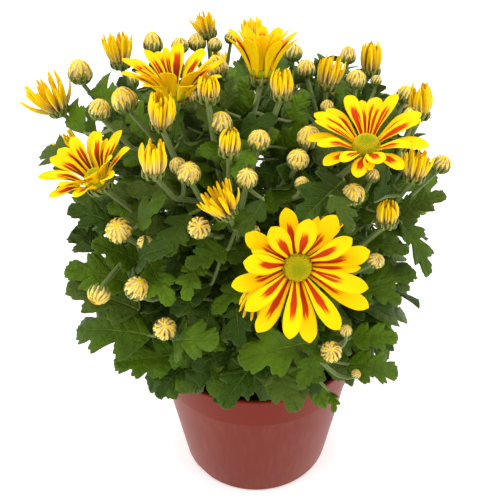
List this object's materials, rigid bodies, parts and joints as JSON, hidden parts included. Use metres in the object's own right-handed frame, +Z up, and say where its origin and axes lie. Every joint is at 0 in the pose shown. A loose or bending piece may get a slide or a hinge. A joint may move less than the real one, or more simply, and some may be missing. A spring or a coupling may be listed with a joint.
{
  "type": "flowering pot plant",
  "caption": "Bushy chrysanthemum with yellow daisy-like blooms, opening heads, round buds and lobed leaves, rooted in a tapered plastic pot.",
  "frame": {"origin": "middle of the pot's underside, on the surface that it stands on", "axes": "+Z up along the pot's axis, -Y towards the side that the picture shows, +X to its right"},
  "size_m": [0.2175, 0.2523, 0.2872],
  "materials": {
    "pot": "satin red-brown moulded plastic",
    "soil": "damp peat",
    "leaf": "leaf green with paler veins",
    "petal": "bright yellow with red streaks from the disc",
    "disc": "green-yellow tiny florets",
    "floret": "yellow, paler and brown-tipped towards the cup"
  },
  "bodies": {
    "root": {"pot": "pot", "soil": "soil", "cutting_1": "leaf", "cutting_2": "leaf", "cutting_3": "leaf", "cutting_4": "leaf", "cutting_5": "leaf", "bloom_front": "petal", "bloom_front_disc": "disc", "bloom_right": "petal", "bloom_right_disc": "disc", "bloom_left": "petal", "bloom_left_disc": "disc", "bloom_rear_left": "petal", "bloom_rear_left_disc": "disc", "bloom_rear_middle": "petal", "bloom_rear_middle_disc": "disc", "bloom_far_1": "petal", "bloom_far_1_disc": "disc", "bloom_far_2": "petal", "bloom_far_2_disc": "disc", "opening_01": "floret", "opening_02": "floret", "opening_03": "floret", "opening_04": "floret", "opening_05": "floret", "opening_06": "floret", "opening_07": "floret", "opening_08": "floret", "opening_09": "floret", "opening_10": "floret", "opening_11": "floret", "opening_12": "floret", "opening_13": "floret", "opening_14": "floret", "opening_15": "floret", "opening_16": "floret", "opening_17": "floret", "opening_far_1": "floret", "opening_far_2": "floret", "opening_far_3": "floret"}
  },
  "joints": []
}
